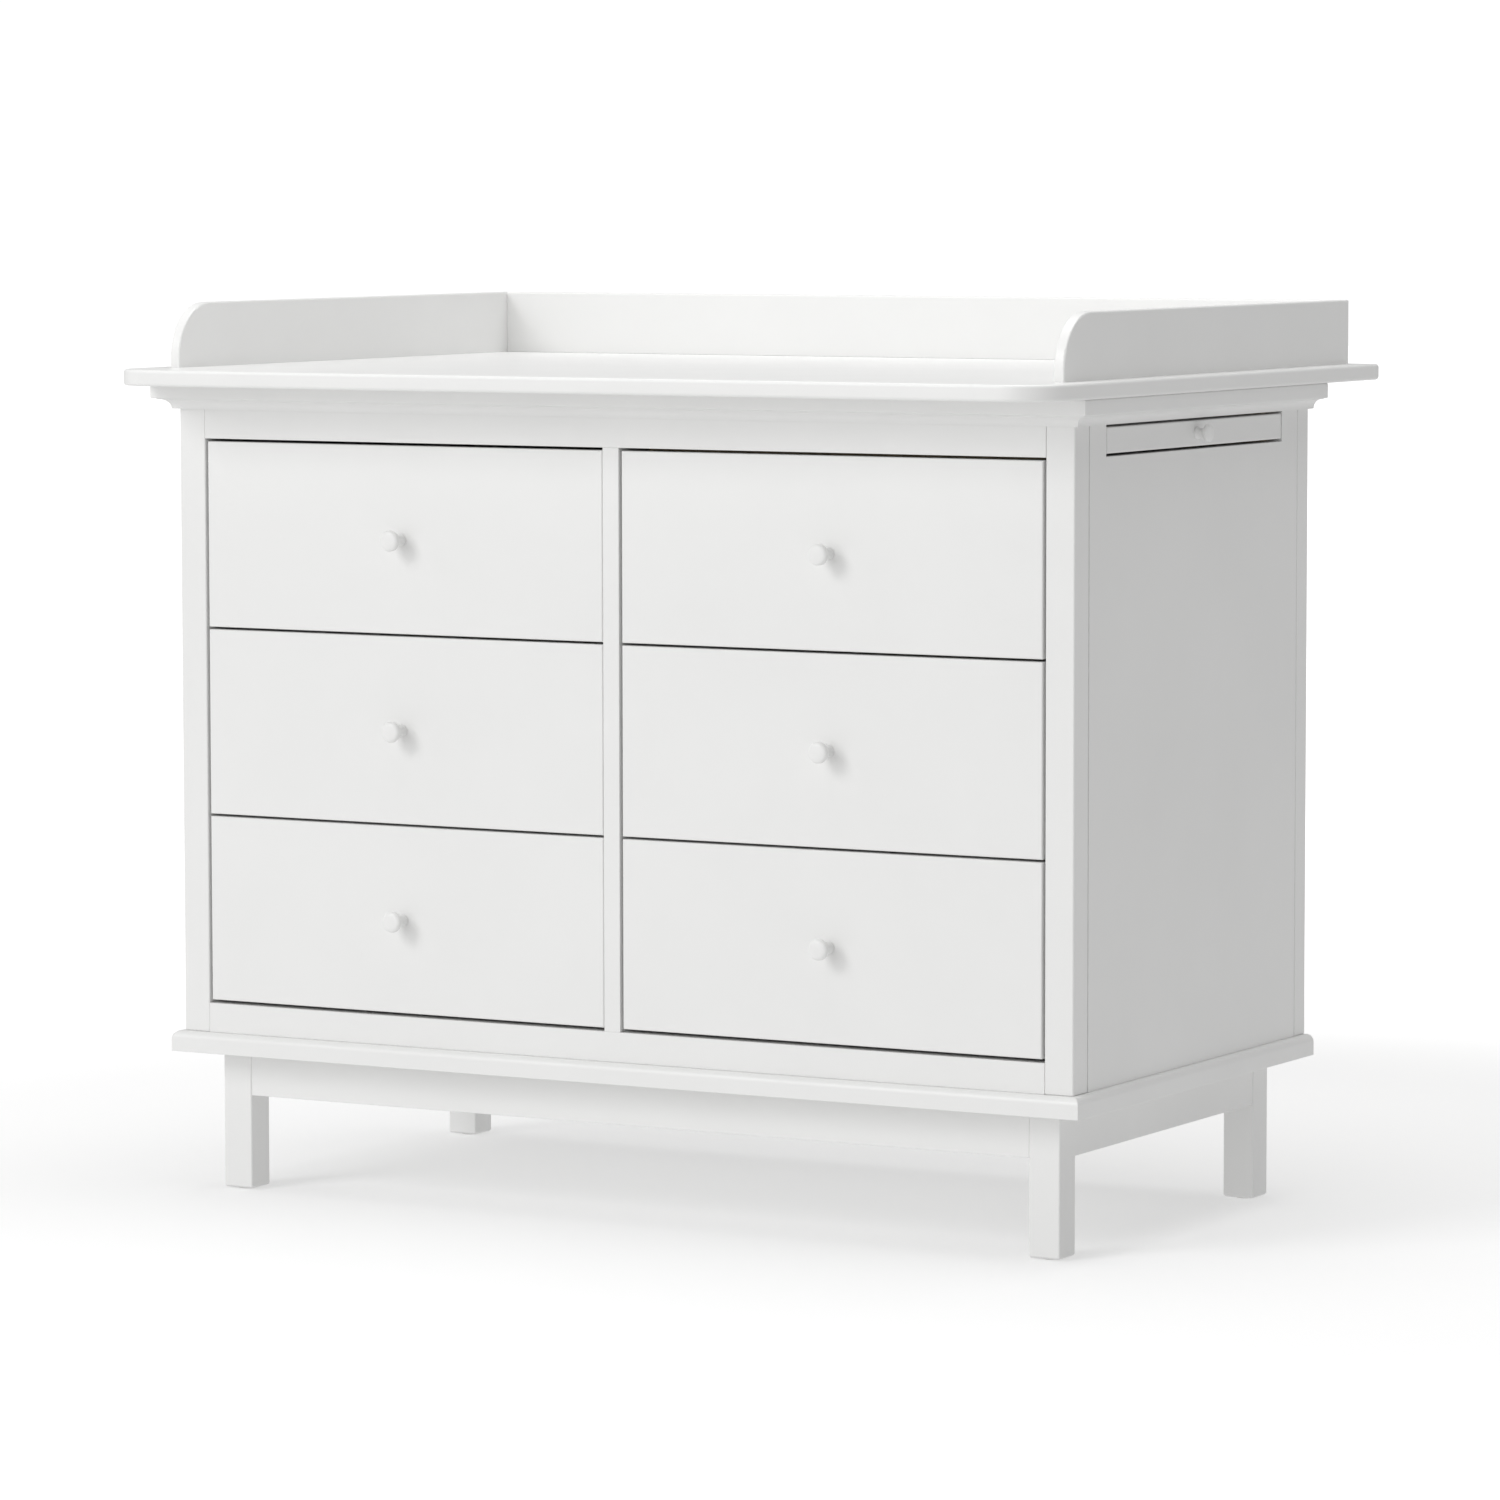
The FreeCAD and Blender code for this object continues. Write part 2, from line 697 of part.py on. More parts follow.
def make_fixings():
    """Steel angles that hold the changing top, and the screws that show outside."""
    pieces = []
    metal = d.bracket_sheet
    leg = d.bracket_leg
    guard_middle = d.board_width / 2 - d.guard_side_inset - d.guard_thickness / 2
    for word, side in sides.items():
        middle = side * (half_width - d.post_width / 2)
        outline = [(0, 0), (leg, 0), (leg, -metal), (metal, -metal), (metal, -leg), (0, -leg)]
        angle = extrude(f"bracket_{word}_angle", "YZ", outline, d.bracket_width,
                        (middle - d.bracket_width / 2, body_back, d.chest_height))
        up = screw(f"bracket_{word}_under", d.screw_length,
                   (middle, body_back + d.bracket_hole, d.chest_height - metal), downwards)
        level = screw(f"bracket_{word}_post", d.screw_length,
                      (middle, body_back + metal, d.chest_height - d.bracket_hole), towards_back)
        holes = doc.addObject("Part::Compound", f"bracket_{word}_screws")
        holes.Links = [up, level]
        pieces += [boolean("Part::Cut", f"bracket_{word}", angle, holes), up, level]
        # the side guards' last screws come up through the board behind the chest
        pieces.append(screw(f"guard_{word}_screw", d.guard_screw_length,
                            (side * guard_middle, body_back + leg, d.chest_height), downwards))
    guard_back_middle = d.board_depth / 2 - d.guard_back_inset - d.guard_thickness / 2
    for i in range(3):
        x = (i - 1) * guard_middle * d.guard_screw_spread
        pieces.append(screw(f"guard_back_screw_{i}", d.guard_screw_length,
                            (x, guard_back_middle, d.chest_height), downwards))
    back_face = back_panel_face + d.back_thickness
    edge = d.rail_thickness / 2
    for i in range(5):
        x = (i - 2) * (post_inside - edge) / 2
        for word, z in (("low", carcass_bottom + edge), ("high", carcass_top - edge)):
            pieces.append(screw(f"back_{word}_{i}", d.screw_length, (x, back_face, z), towards_back))
    group("steel_fixings", pieces)


make_base()
make_posts()
make_panels()
make_dividers()
make_top()
make_runner_supports()
for row in levels:
    for column in columns:
        make_drawer(row, column)
make_shelf()
make_changing_top()
make_fixings()
doc.recompute()

for piece in doc.Objects:
    if "Invalid" in piece.State or "Error" in piece.State:
        raise RuntimeError(f"{piece.Label}: {piece.State}")
for piece in nodes:
    if piece.Shape.isNull() or not piece.Shape.isValid() or not piece.Shape.Solids:
        raise RuntimeError(f"{piece.Label}: bad shape")

os.makedirs("parts", exist_ok=True)
for piece in nodes:
    piece.Shape.exportStep(f"parts/{piece.Label}.step")
print(len(nodes), "sub-parts,", sum(len(piece.Shape.Solids) for piece in nodes), "solids")
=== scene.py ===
# Changing table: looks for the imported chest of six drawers, in metres.
import json
import math
import random

import bmesh
import bpy
from mathutils import Matrix, Vector

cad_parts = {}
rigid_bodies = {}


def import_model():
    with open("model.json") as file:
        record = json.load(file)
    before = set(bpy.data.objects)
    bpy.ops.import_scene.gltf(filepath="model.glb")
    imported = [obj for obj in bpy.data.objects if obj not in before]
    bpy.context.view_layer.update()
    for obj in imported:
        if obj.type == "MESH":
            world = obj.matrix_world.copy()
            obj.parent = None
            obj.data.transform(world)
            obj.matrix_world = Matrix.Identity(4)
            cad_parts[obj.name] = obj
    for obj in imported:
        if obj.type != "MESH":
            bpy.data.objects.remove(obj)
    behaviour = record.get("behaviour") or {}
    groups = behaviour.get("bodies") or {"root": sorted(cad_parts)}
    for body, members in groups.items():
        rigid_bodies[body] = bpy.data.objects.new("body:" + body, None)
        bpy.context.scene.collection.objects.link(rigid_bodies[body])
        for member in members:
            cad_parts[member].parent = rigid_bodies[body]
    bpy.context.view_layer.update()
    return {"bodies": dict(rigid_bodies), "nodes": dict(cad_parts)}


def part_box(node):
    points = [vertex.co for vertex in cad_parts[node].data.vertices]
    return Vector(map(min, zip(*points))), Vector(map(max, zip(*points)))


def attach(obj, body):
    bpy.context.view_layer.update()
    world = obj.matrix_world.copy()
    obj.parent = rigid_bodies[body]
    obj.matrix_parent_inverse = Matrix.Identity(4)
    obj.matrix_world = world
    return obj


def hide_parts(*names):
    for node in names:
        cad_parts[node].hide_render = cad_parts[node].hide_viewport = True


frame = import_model()
scene = bpy.context.scene
nodes = frame["nodes"]
mm = 0.001
print("frame loaded,", len(nodes), "CAD nodes")


# small helpers for materials
def linear(hexColour):
    channels = [int(hexColour[i:i + 2], 16) / 255 for i in (1, 3, 5)]
    return [c / 12.92 if c <= 0.04045 else ((c + 0.055) / 1.055) ** 2.4 for c in channels] + [1]


def socketOf(node, key):
    if isinstance(key, int):
        return node.inputs[key]
    found = [s for s in node.inputs if s.enabled and key in (s.name, s.identifier)]
    return found[0] if found else None


def addNode(tree, kind, settings=(), links=()):
    # settings are node properties or socket values, links are socket: output
    node = tree.nodes.new(kind)
    for key, value in dict(settings).items():
        if isinstance(key, str) and hasattr(node, key):
            setattr(node, key, value)
        else:
            socketOf(node, key).default_value = value
    for key, output in dict(links).items():
        tree.links.new(output, socketOf(node, key))
    return node


def newMaterial(name):
    material = bpy.data.materials.new(name)
    material.use_nodes = True
    tree = material.node_tree
    shader = tree.nodes["Principled BSDF"]
    return material, tree, shader


def scaleFor(size):
    # noise scale, in cycles per metre, for a feature of this size in millimetres
    return 1 / (size * mm)


def mixed(tree, first, second, factor):
    # a colour between two hex colours
    return addNode(tree, "ShaderNodeMix",
                   {"data_type": "RGBA", "A": linear(first), "B": linear(second)}, {"Factor": factor})


def bumped(tree, depth, height, normal=None, sunk=False):
    # relief of this depth in millimetres, over another relief if one is given
    links = {"Height": height}
    if normal is not None:
        links["Normal"] = normal
    return addNode(tree, "ShaderNodeBump", {"Distance": depth * mm, "Strength": 1.0, "invert": sunk}, links)


def glossed(tree, roughness, factor):
    # roughness that goes from the first value to the second with the factor
    return addNode(tree, "ShaderNodeMapRange", {"To Min": roughness[0], "To Max": roughness[1]},
                   {"Value": factor})


def dress(tree, shader, tint, gloss, relief):
    # colour, roughness and relief go into the shader
    tree.links.new(tint.outputs["Result"], shader.inputs["Base Color"])
    tree.links.new(gloss.outputs["Result"], shader.inputs["Roughness"])
    tree.links.new(relief.outputs["Normal"], shader.inputs["Normal"])


# Satin lacquer sprayed on fibreboard: a closed, even white film with a soft sheen,
# a faint orange peel and slow changes of gloss where the spray fell thicker.
lacquerLook = {
    "white": "#F1F1F0",
    "shade": "#ECECEB",
    "ior": 1.5,
    "roughness": (0.31, 0.4),
    "peelSize": 3.2,       # real peel is 1 to 2 mm, drawn coarser so that it shows
    "peelDepth": 0.016,
    "cloudSize": 140,
    "grainLength": 60,     # solid wood under the film: long, faint ridges of closed pores
    "grainWidth": 2.4,
    "grainDepth": 0.022,
}


def satinLacquer(name, grainAxis=None):
    look = lacquerLook
    material, tree, shader = newMaterial(name)
    place = addNode(tree, "ShaderNodeTexCoord").outputs["Object"]
    cloud = addNode(tree, "ShaderNodeTexNoise",
                    {"Scale": scaleFor(look["cloudSize"]), "Detail": 3.0, "Roughness": 0.55},
                    {"Vector": place})
    tint = mixed(tree, look["white"], look["shade"], cloud.outputs["Fac"])
    gloss = addNode(tree, "ShaderNodeMapRange",
                    {"From Min": 0.3, "From Max": 0.7, "To Min": look["roughness"][0],
                     "To Max": look["roughness"][1]}, {"Value": cloud.outputs["Fac"]})
    peel = addNode(tree, "ShaderNodeTexNoise",
                   {"Scale": scaleFor(look["peelSize"]), "Detail": 1.5, "Roughness": 0.4}, {"Vector": place})
    relief = bumped(tree, look["peelDepth"], peel.outputs["Fac"])
    if grainAxis is not None:
        stretch = [scaleFor(look["grainWidth"])] * 3
        stretch[grainAxis] = scaleFor(look["grainLength"])
        along = addNode(tree, "ShaderNodeMapping", {"Scale": stretch}, {"Vector": place})
        grain = addNode(tree, "ShaderNodeTexNoise",
                        {"Scale": 1.0, "Detail": 3.0, "Roughness": 0.6}, {"Vector": along.outputs["Vector"]})
        relief = bumped(tree, look["grainDepth"], grain.outputs["Fac"], relief.outputs["Normal"])
    shader.inputs["IOR"].default_value = look["ior"]
    dress(tree, shader, tint, gloss, relief)
    return material


# Thin hardboard with a printed white face: a little warmer and flatter than the
# lacquer, with the soft pebble of pressed fibres showing through.
hardboardLook = {
    "face": "#EBEAE6",
    "fleck": "#DEDCD6",
    "ior": 1.48,
    "roughness": (0.48, 0.6),
    "fibreSize": 5,
    "fibreDepth": 0.03,
}


def printedHardboard(name):
    look = hardboardLook
    material, tree, shader = newMaterial(name)
    place = addNode(tree, "ShaderNodeTexCoord").outputs["Object"]
    fibre = addNode(tree, "ShaderNodeTexNoise",
                    {"Scale": scaleFor(look["fibreSize"]), "Detail": 5.0, "Roughness": 0.65},
                    {"Vector": place})
    tint = mixed(tree, look["fleck"], look["face"], fibre.outputs["Fac"])
    gloss = glossed(tree, look["roughness"], fibre.outputs["Fac"])
    relief = bumped(tree, look["fibreDepth"], fibre.outputs["Fac"])
    shader.inputs["IOR"].default_value = look["ior"]
    dress(tree, shader, tint, gloss, relief)
    return material


# Birch plywood, peeled veneer under clear matt lacquer: pale straw with slow,
# wavy figure and short fine pores; its sawn edges show light and dark plies.
birchLook = {
    "pale": "#E6D2AE",
    "figure": "#DDC69F",
    "pore": "#C5A678",
    "endPly": "#B98F5E",
    "ior": 1.47,
    "roughness": (0.42, 0.55),
    "ply": 1.34,           # 12 mm board of nine plies
    "figureSize": (260, 34),
    "poreSize": (9, 0.9),
    "poreDepth": 0.03,
    "figureBands": 9.0,    # rings crossed by one swing of the figure
    "figureEdge": 1.8,     # above 1 draws each ring with a finer dark side
    "poreRange": (0.62, 0.74),
    "poreStrength": 0.5,
}


def birchWood(name, solidAlong=None):
    # plywood reads the board's own place: along the grain, across it, out from the middle ply
    look = birchLook
    material, tree, shader = newMaterial(name)
    if solidAlong is None:
        place = addNode(tree, "ShaderNodeAttribute", {"attribute_name": "boardPlace"}).outputs["Vector"]
    else:
        ownPlace = addNode(tree, "ShaderNodeTexCoord").outputs["Object"]
        split = addNode(tree, "ShaderNodeSeparateXYZ", (), {"Vector": ownPlace}).outputs
        others = [split[axis] for axis in range(3) if axis != solidAlong]
        across = addNode(tree, "ShaderNodeMath", {"operation": "ADD"}, {0: others[0], 1: others[1]})
        place = addNode(tree, "ShaderNodeCombineXYZ", (),
                        {"X": split[solidAlong], "Y": across.outputs["Value"]}).outputs["Vector"]
    figurePlace = addNode(tree, "ShaderNodeMapping",
                          {"Scale": [scaleFor(look["figureSize"][0]), scaleFor(look["figureSize"][1]), 1.0]},
                          {"Vector": place})
    figure = addNode(tree, "ShaderNodeTexNoise", {"Scale": 1.0, "Detail": 4.0, "Distortion": 1.2},
                     {"Vector": figurePlace.outputs["Vector"]})
    bands = addNode(tree, "ShaderNodeMath", {"operation": "MULTIPLY", 1: look["figureBands"]},
                    {0: figure.outputs["Fac"]})
    waves = addNode(tree, "ShaderNodeMath", {"operation": "PINGPONG", 1: 1.0}, {0: bands.outputs["Value"]})
    soft = addNode(tree, "ShaderNodeMath", {"operation": "POWER", 1: look["figureEdge"]},
                   {0: waves.outputs["Value"]})
    figured = mixed(tree, look["pale"], look["figure"], soft.outputs["Value"])
    porePlace = addNode(tree, "ShaderNodeMapping",
                        {"Scale": [scaleFor(look["poreSize"][0]), scaleFor(look["poreSize"][1]), 1.0]},
                        {"Vector": place})
    pore = addNode(tree, "ShaderNodeTexNoise", {"Scale": 1.0, "Detail": 1.0},
                   {"Vector": porePlace.outputs["Vector"]})
    poreMask = addNode(tree, "ShaderNodeMapRange",
                       {"From Min": look["poreRange"][0], "From Max": look["poreRange"][1],
                        "To Min": 0.0, "To Max": look["poreStrength"]}, {"Value": pore.outputs["Fac"]})
    face = addNode(tree, "ShaderNodeMix", {"data_type": "RGBA", "B": linear(look["pore"])},
                   {"Factor": poreMask.outputs["Result"], "A": figured.outputs["Result"]})
    depth = addNode(tree, "ShaderNodeSeparateXYZ", (), {"Vector": place}).outputs["Z"]
    fromMiddle = addNode(tree, "ShaderNodeMath", {"operation": "ABSOLUTE"}, {0: depth})
    plies = addNode(tree, "ShaderNodeMath",
                    {"operation": "MULTIPLY_ADD", 1: scaleFor(look["ply"]), 2: 0.5},
                    {0: fromMiddle.outputs["Value"]})
    half = addNode(tree, "ShaderNodeMath", {"operation": "MULTIPLY", 1: 0.5}, {0: plies.outputs["Value"]})
    within = addNode(tree, "ShaderNodeMath", {"operation": "FRACT"}, {0: half.outputs["Value"]})
    crossPly = addNode(tree, "ShaderNodeMath", {"operation": "GREATER_THAN", 1: 0.5},
                       {0: within.outputs["Value"]})
    board = addNode(tree, "ShaderNodeMix", {"data_type": "RGBA", "B": linear(look["endPly"])},
                    {"Factor": crossPly.outputs["Value"], "A": face.outputs["Result"]})
    gloss = glossed(tree, look["roughness"], figure.outputs["Fac"])
    relief = bumped(tree, look["poreDepth"], pore.outputs["Fac"], sunk=True)
    shader.inputs["IOR"].default_value = look["ior"]
    dress(tree, shader, board, gloss, relief)
    return material


# Zinc-plated rolled steel: cool light grey metal, satin from the rolls, with
# fine lines along the strip and a cloudy bluish passivation.
zincLook = {
    "bright": "#C9CCD0",
    "dull": "#B4B8BC",
    "roughness": (0.24, 0.42),
    "lineSize": (40, 0.5),
    "lineDepth": 0.006,
    "cloudSize": 12,
}


def zincSteel(name):
    look = zincLook
    material, tree, shader = newMaterial(name)
    place = addNode(tree, "ShaderNodeTexCoord").outputs["Object"]
    cloud = addNode(tree, "ShaderNodeTexNoise", {"Scale": scaleFor(look["cloudSize"]), "Detail": 3.0},
                    {"Vector": place})
    thin = scaleFor(look["lineSize"][1])
    along = addNode(tree, "ShaderNodeMapping", {"Scale": [thin, scaleFor(look["lineSize"][0]), thin]},
                    {"Vector": place})
    rolled = addNode(tree, "ShaderNodeTexNoise", {"Scale": 1.0, "Detail": 2.0},
                     {"Vector": along.outputs["Vector"]})
    tint = mixed(tree, look["bright"], look["dull"], cloud.outputs["Fac"])
    gloss = glossed(tree, look["roughness"], rolled.outputs["Fac"])
    relief = bumped(tree, look["lineDepth"], rolled.outputs["Fac"])
    shader.inputs["Metallic"].default_value = 1.0
    dress(tree, shader, tint, gloss, relief)
    return material


# Moulded polyethylene: milky pale grey, waxy, slightly uneven from the mould.
glideLook = {
    "body": "#D6D6D3",
    "scuff": "#C8C8C4",
    "ior": 1.51,
    "roughness": (0.42, 0.58),
    "grainSize": 1.5,
    "grainDepth": 0.02,
}


def mouldedPolyethylene(name):
    look = glideLook
    material, tree, shader = newMaterial(name)
    place = addNode(tree, "ShaderNodeTexCoord").outputs["Object"]
    grain = addNode(tree, "ShaderNodeTexNoise", {"Scale": scaleFor(look["grainSize"]), "Detail": 3.0},
                    {"Vector": place})
    tint = mixed(tree, look["body"], look["scuff"], grain.outputs["Fac"])
    gloss = glossed(tree, look["roughness"], grain.outputs["Fac"])
    relief = bumped(tree, look["grainDepth"], grain.outputs["Fac"])
    shader.inputs["IOR"].default_value = look["ior"]
    dress(tree, shader, tint, gloss, relief)
    return material


lacqueredBoard = satinLacquer("satinLacqueredFibreboard")
lacqueredWood = {
    "x": satinLacquer("satinLacqueredBeechLevel", 0),
    "y": satinLacquer("satinLacqueredBeechDeep", 1),
    "z": satinLacquer("satinLacqueredBeechUpright", 2),
}
hardboard = printedHardboard("printedHardboard")
birch = birchWood("birchPlywood")
birchBatten = birchWood("solidBirchDeep", 1)
birchGuide = birchWood("solidBirchLevel", 0)
zinc = zincSteel("zincPlatedSteel")
polyethylene = mouldedPolyethylene("mouldedPolyethylene")
print("materials made")


# the boards that keep their CAD shape
easing = {
    "lacquered": 0.6,      # mm, sanded edge under the lacquer
    "post": 1.6,           # the posts more, so their joints show
    "thin": 0.4,
    "segments": 3,
    "sharpest": 32,        # degrees, turns sharper than this are eased
    "joinWithin": 0.01,    # mm, corners this near become one
    "flatWithin": 0.3,     # degrees, facets this near to level become one face
    "flatWeight": 90,      # how much large faces rule the shading
}


def easeEdges(cadNode, width):
    weld = cadNode.modifiers.new("joinCorners", "WELD")
    weld.merge_threshold = easing["joinWithin"] * mm
    flat = cadNode.modifiers.new("joinFlats", "DECIMATE")
    flat.decimate_type = "DISSOLVE"
    flat.angle_limit = math.radians(easing["flatWithin"])
    ease = cadNode.modifiers.new("easeEdges", "BEVEL")
    ease.width = width * mm
    ease.segments = easing["segments"]
    ease.limit_method = "ANGLE"
    ease.angle_limit = math.radians(easing["sharpest"])
    ease.use_clamp_overlap = True
    shade = cadNode.modifiers.new("evenShade", "WEIGHTED_NORMAL")
    shade.weight = easing["flatWeight"]
    shade.keep_sharp = False


def finishNode(name, material, width):
    cadNode = nodes[name]
    if not cadNode.material_slots:
        cadNode.data.materials.append(material)
    for slot in cadNode.material_slots:
        slot.material = material
    easeEdges(cadNode, width)


grainOf = {
    "x": ["apron_front", "apron_back", "plinth_board", "front_top_rail", "front_bottom_rail", "back_rails",
          "cornice_front", "guard_back", "shelf_front"],
    "y": ["apron_left", "apron_right", "cornice_left", "cornice_right", "guard_left", "guard_right"],
    "z": ["leg_front_left", "leg_front_right", "leg_back_left", "leg_back_right", "post_front_left",
          "post_front_right", "post_back_left", "post_back_right"],
}
for axis, names in grainOf.items():
    for name in names:
        finishNode(name, lacqueredWood[axis], easing["post" if name.startswith("post_") else "lacquered"])

drawerNames = [body for body in frame["bodies"] if body.startswith("drawer_")]
flatBoards = ["side_panel_left", "side_panel_right", "centre_partition", "chest_top", "changing_board",
              "shelf_board", *[f"{drawer}_front" for drawer in drawerNames]]
for name in flatBoards:
    finishNode(name, lacqueredBoard, easing["lacquered"])
finishNode("back_panel", hardboard, easing["thin"])
finishNode("runner_battens", birchBatten, easing["lacquered"])
finishNode("shelf_guides", birchGuide, easing["lacquered"])
print("lacquered boards finished")


# small helpers for meshes
def addPiece(name, mesh, material, body, replaced):
    piece = bpy.data.objects.new(name, mesh)
    scene.collection.objects.link(piece)
    mesh.materials.clear()
    mesh.materials.append(material)
    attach(piece, body)
    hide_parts(*replaced)
    return piece


def meshFrom(name, work):
    bmesh.ops.remove_doubles(work, verts=work.verts, dist=0.001 * mm)
    bmesh.ops.recalc_face_normals(work, faces=work.faces)
    mesh = bpy.data.meshes.new(name)
    work.to_mesh(mesh)
    work.free()
    return mesh


def closeTube(work, first, second):
    # two end faces and the walls between two rings of corners
    work.faces.new(first)
    work.faces.new(list(reversed(second)))
    count = len(first)
    for i in range(count):
        work.faces.new([first[i], first[(i + 1) % count], second[(i + 1) % count], second[i]])


def softened(corners, radii, steps=5):
    # an open run of corners, each one with a radius turned into a short smooth curve
    points = []
    for i, corner in enumerate(corners):
        here = Vector(corner)
        if i in (0, len(corners) - 1) or not radii[i]:
            points.append(here)
            continue
        before = Vector(corners[i - 1])
        after = Vector(corners[i + 1])
        reachIn = min(radii[i], (before - here).length * 0.49)
        reachOut = min(radii[i], (after - here).length * 0.49)
        start = here + (before - here).normalized() * reachIn
        end = here + (after - here).normalized() * reachOut
        for step in range(steps + 1):
            t = step / steps
            points.append(start * (1 - t) ** 2 + here * 2 * t * (1 - t) + end * t ** 2)
    return points


def smoothByAngle(mesh, degrees):
    mesh.polygons.foreach_set("use_smooth", [True] * len(mesh.polygons))
    mesh.set_sharp_from_angle(angle=math.radians(degrees))


def turned(name, outline, steps=48):
    # outline of (radius, height) in mm from the axis round and back to the axis
    work = bmesh.new()
    corners = [work.verts.new((r * mm, 0, h * mm)) for r, h in outline]
    rim = [work.edges.new(pair) for pair in zip(corners, corners[1:])]
    bmesh.ops.spin(work, geom=corners + rim, axis=(0, 0, 1), cent=(0, 0, 0),
                   angle=2 * math.pi, steps=steps)
    bmesh.ops.remove_doubles(work, verts=work.verts, dist=0.001 * mm)
    return meshFrom(name, work)


def placed(mesh, matrix, name):
    copy = mesh.copy()
    copy.name = name
    copy.transform(matrix)
    if matrix.to_3x3().determinant() < 0:
        copy.flip_normals()
    return copy


def joined(name, meshes):
    work = bmesh.new()
    for mesh in meshes:
        work.from_mesh(mesh)
    whole = bpy.data.meshes.new(name)
    work.to_mesh(whole)
    work.free()
    return whole


def addSteel(name, mesh, body, replaced):
    # a zinc-plated piece that stands in for one node of the frame
    addPiece(name, mesh, zinc, body, [replaced])


def between(corners):
    # the middle of a box given by its two corners
    return (corners[0] + corners[1]) / 2


def evaluated(mesh, modifiers):
    # runs modifiers on a scratch object and returns the finished mesh
    scratch = bpy.data.objects.new("scratch", mesh)
    scene.collection.objects.link(scratch)
    for kind, settings in modifiers:
        modifier = scratch.modifiers.new(kind.lower(), kind)
        for key, value in settings.items():
            setattr(modifier, key, value)
    result = bpy.data.meshes.new_from_object(
        scratch.evaluated_get(bpy.context.evaluated_depsgraph_get()))
    bpy.data.objects.remove(scratch)
    return result


# knobs
drawerKnob = {"base": 6.5, "neck": 4.9, "head": 11, "reach": 26, "headHeight": 9,
              "collar": 1.2, "waist": 0.26, "throat": 1, "lip": 0.6, "brow": 0.9,
              "radii": (0, 0.5, 1.4, 5, 2.6, 3.2, 7.5, 0)}
shelfKnob = dict(drawerKnob, head=9, reach=17, headHeight=7)


def knobMesh(name, knob):
    under = knob["reach"] - knob["headHeight"]
    crown = knob["reach"]
    corners = [(0, 0), (knob["base"], 0), (knob["base"], knob["collar"]),
               (knob["neck"], crown * knob["waist"]), (knob["neck"], under - knob["throat"]),
               (knob["head"], under + knob["lip"]), (knob["head"], crown - knob["brow"]), (0, crown)]
    outline = [(p.x, p.y) for p in softened(corners, knob["radii"], 9)]
    mesh = turned(name, outline, 64)
    smoothByAngle(mesh, 50)
    return mesh


towardsFront = Matrix.Rotation(math.radians(90), 4, "X")
towardsBack = Matrix.Rotation(math.radians(-90), 4, "X")
towardsRight = Matrix.Rotation(math.radians(90), 4, "Y")
knobShape = knobMesh("knobShape", drawerKnob)
for drawer in drawerNames:
    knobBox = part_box(f"{drawer}_knob")
    middle = between(knobBox)
    stand = Matrix.Translation((middle.x, knobBox[1].y, middle.z)) @ towardsFront
    addPiece(f"{drawer}_turned_knob", placed(knobShape, stand, f"{drawer}KnobMesh"),
             lacqueredWood["y"], drawer, [f"{drawer}_knob"])
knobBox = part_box("shelf_knob")
middle = between(knobBox)
stand = Matrix.Translation((knobBox[0].x, middle.y, middle.z)) @ towardsRight
addPiece("shelf_turned_knob", placed(knobMesh("smallKnobShape", shelfKnob), stand, "shelfKnobMesh"),
         lacqueredWood["x"], "shelf", ["shelf_knob"])
print("knobs turned")


# plywood boards
plywood = {"side": 12, "floor": 6, "easing": 0.7, "segments": 2, "groove": 6, "grooveUp": 12,
           "seed": 11, "logReach": 3}
draw = random.Random(plywood["seed"])


def plyBoard(name, outline, along, length, grain, thickness, middle):
    # outline in mm in the plane across the axis "along", pushed from length[0] to length[1]
    work = bmesh.new()
    others = [axis for axis in range(3) if axis != along]
    rings = []
    for end in length:
        ring = []
        for a, b in outline:
            point = [0.0, 0.0, 0.0]
            point[others[0]] = a
            point[others[1]] = b
            point[along] = end
            ring.append(work.verts.new(point))
        rings.append(ring)
    closeTube(work, *rings)
    bmesh.ops.recalc_face_normals(work, faces=work.faces)
    bmesh.ops.bevel(work, geom=list(work.edges), offset=plywood["easing"] * mm,
                    segments=plywood["segments"], profile=0.5, affect="EDGES", clamp_overlap=True)
    mesh = meshFrom(name, work)
    across = 3 - grain - thickness
    shift = [draw.uniform(0, plywood["logReach"]), draw.uniform(0, plywood["logReach"])]
    place = mesh.attributes.new("boardPlace", "FLOAT_VECTOR", "POINT")
    for vertex, spot in zip(mesh.vertices, place.data):
        spot.vector = (vertex.co[grain] + shift[0], vertex.co[across] + shift[1],
                       vertex.co[thickness] - middle)
    smoothByAngle(mesh, 40)
    return mesh


def rectangle(low, high):
    return [(low[0], low[1]), (high[0], low[1]), (high[0], high[1]), (low[0], high[1])]


